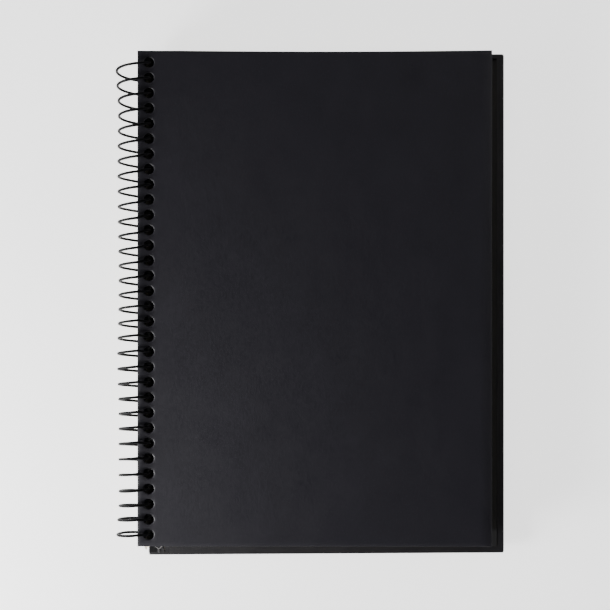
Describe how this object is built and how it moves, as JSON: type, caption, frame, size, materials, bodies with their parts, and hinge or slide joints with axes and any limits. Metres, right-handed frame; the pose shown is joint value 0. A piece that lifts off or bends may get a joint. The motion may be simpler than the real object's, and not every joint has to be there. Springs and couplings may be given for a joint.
{
  "type": "sketchbook",
  "caption": "Portrait A5 sketchbook with a black cover, a larger rigid black back cover and drawing leaves on a single wire coil, so that the cover and leaves turn about the coil.",
  "frame": {"origin": "bottom centre of the whole object's bounding box; the lowest point is the underside of the coil", "axes": "+X across the book, away from the coil at its left edge; +Y up the page; +Z out of the front cover"},
  "size_m": [0.167, 0.218, 0.0181],
  "materials": {
    "cover_card": "black through-dyed card with a satin, finely mottled face",
    "black_paper": "matt black paper",
    "drawing_paper": "matt cream cartridge paper",
    "greyboard": "dense grey bookbinding board",
    "leatherette": "black imitation-leather covering paper, fine grain",
    "coil_wire": "gloss black coated steel wire"
  },
  "bodies": {
    "back_half": {"back_covering": "leatherette", "back_board": "greyboard", "pastedown": "black_paper", "back_flyleaf": "black_paper", "leaf_block": "drawing_paper", "wire_coil": "coil_wire"},
    "flyleaf": {"front_flyleaf": "black_paper"},
    "cover": {"front_cover": "cover_card"},
    "packet_01": {"leaf_packet_01": "drawing_paper"},
    "packet_02": {"leaf_packet_02": "drawing_paper"},
    "packet_03": {"leaf_packet_03": "drawing_paper"},
    "packet_04": {"leaf_packet_04": "drawing_paper"},
    "packet_05": {"leaf_packet_05": "drawing_paper"},
    "packet_06": {"leaf_packet_06": "drawing_paper"},
    "packet_07": {"leaf_packet_07": "drawing_paper"},
    "packet_08": {"leaf_packet_08": "drawing_paper"},
    "packet_09": {"leaf_packet_09": "drawing_paper"},
    "packet_10": {"leaf_packet_10": "drawing_paper"},
    "packet_11": {"leaf_packet_11": "drawing_paper"},
    "packet_12": {"leaf_packet_12": "drawing_paper"}
  },
  "joints": [
    {"name": "cover_turn", "type": "hinge", "parent": "back_half", "child": "flyleaf", "pos_m": [-0.07443, 0, 0.00905], "axis": [0, -1, 0], "range_deg": [0, 180]},
    {"name": "cover_creep", "type": "slide", "parent": "flyleaf", "child": "cover", "axis": [0, 1, 0], "range_m": [-0.00324, 0]},
    {"name": "packet_01_turn", "type": "hinge", "parent": "back_half", "child": "packet_01", "pos_m": [-0.07443, 0, 0.00905], "axis": [0, -1, 0], "range_deg": [0, 166.3]},
    {"name": "packet_02_turn", "type": "hinge", "parent": "back_half", "child": "packet_02", "pos_m": [-0.07443, 0, 0.00905], "axis": [0, -1, 0], "range_deg": [0, 152.4]},
    {"name": "packet_03_turn", "type": "hinge", "parent": "back_half", "child": "packet_03", "pos_m": [-0.07443, 0, 0.00905], "axis": [0, -1, 0], "range_deg": [0, 138.6]},
    {"name": "packet_04_turn", "type": "hinge", "parent": "back_half", "child": "packet_04", "pos_m": [-0.07443, 0, 0.00905], "axis": [0, -1, 0], "range_deg": [0, 124.7]},
    {"name": "packet_05_turn", "type": "hinge", "parent": "back_half", "child": "packet_05", "pos_m": [-0.07443, 0, 0.00905], "axis": [0, -1, 0], "range_deg": [0, 110.9]},
    {"name": "packet_06_turn", "type": "hinge", "parent": "back_half", "child": "packet_06", "pos_m": [-0.07443, 0, 0.00905], "axis": [0, -1, 0], "range_deg": [0, 97]},
    {"name": "packet_07_turn", "type": "hinge", "parent": "back_half", "child": "packet_07", "pos_m": [-0.07443, 0, 0.00905], "axis": [0, -1, 0], "range_deg": [0, 83.2]},
    {"name": "packet_08_turn", "type": "hinge", "parent": "back_half", "child": "packet_08", "pos_m": [-0.07443, 0, 0.00905], "axis": [0, -1, 0], "range_deg": [0, 69.3]},
    {"name": "packet_09_turn", "type": "hinge", "parent": "back_half", "child": "packet_09", "pos_m": [-0.07443, 0, 0.00905], "axis": [0, -1, 0], "range_deg": [0, 55.5]},
    {"name": "packet_10_turn", "type": "hinge", "parent": "back_half", "child": "packet_10", "pos_m": [-0.07443, 0, 0.00905], "axis": [0, -1, 0], "range_deg": [0, 41.6]},
    {"name": "packet_11_turn", "type": "hinge", "parent": "back_half", "child": "packet_11", "pos_m": [-0.07443, 0, 0.00905], "axis": [0, -1, 0], "range_deg": [0, 27.8]},
    {"name": "packet_12_turn", "type": "hinge", "parent": "back_half", "child": "packet_12", "pos_m": [-0.07443, 0, 0.00905], "axis": [0, -1, 0], "range_deg": [0, 13.9]}
  ],
  "couplings": [
    {"joint": "cover_creep", "follows": "cover_turn", "m_per_rad": -0.001027},
    {"joint": "packet_01_turn", "follows": "cover_turn", "ratio": 0.92308},
    {"joint": "packet_02_turn", "follows": "cover_turn", "ratio": 0.84615},
    {"joint": "packet_03_turn", "follows": "cover_turn", "ratio": 0.76923},
    {"joint": "packet_04_turn", "follows": "cover_turn", "ratio": 0.69231},
    {"joint": "packet_05_turn", "follows": "cover_turn", "ratio": 0.61538},
    {"joint": "packet_06_turn", "follows": "cover_turn", "ratio": 0.53846},
    {"joint": "packet_07_turn", "follows": "cover_turn", "ratio": 0.46154},
    {"joint": "packet_08_turn", "follows": "cover_turn", "ratio": 0.38462},
    {"joint": "packet_09_turn", "follows": "cover_turn", "ratio": 0.30769},
    {"joint": "packet_10_turn", "follows": "cover_turn", "ratio": 0.23077},
    {"joint": "packet_11_turn", "follows": "cover_turn", "ratio": 0.15385},
    {"joint": "packet_12_turn", "follows": "cover_turn", "ratio": 0.076923}
  ]
}
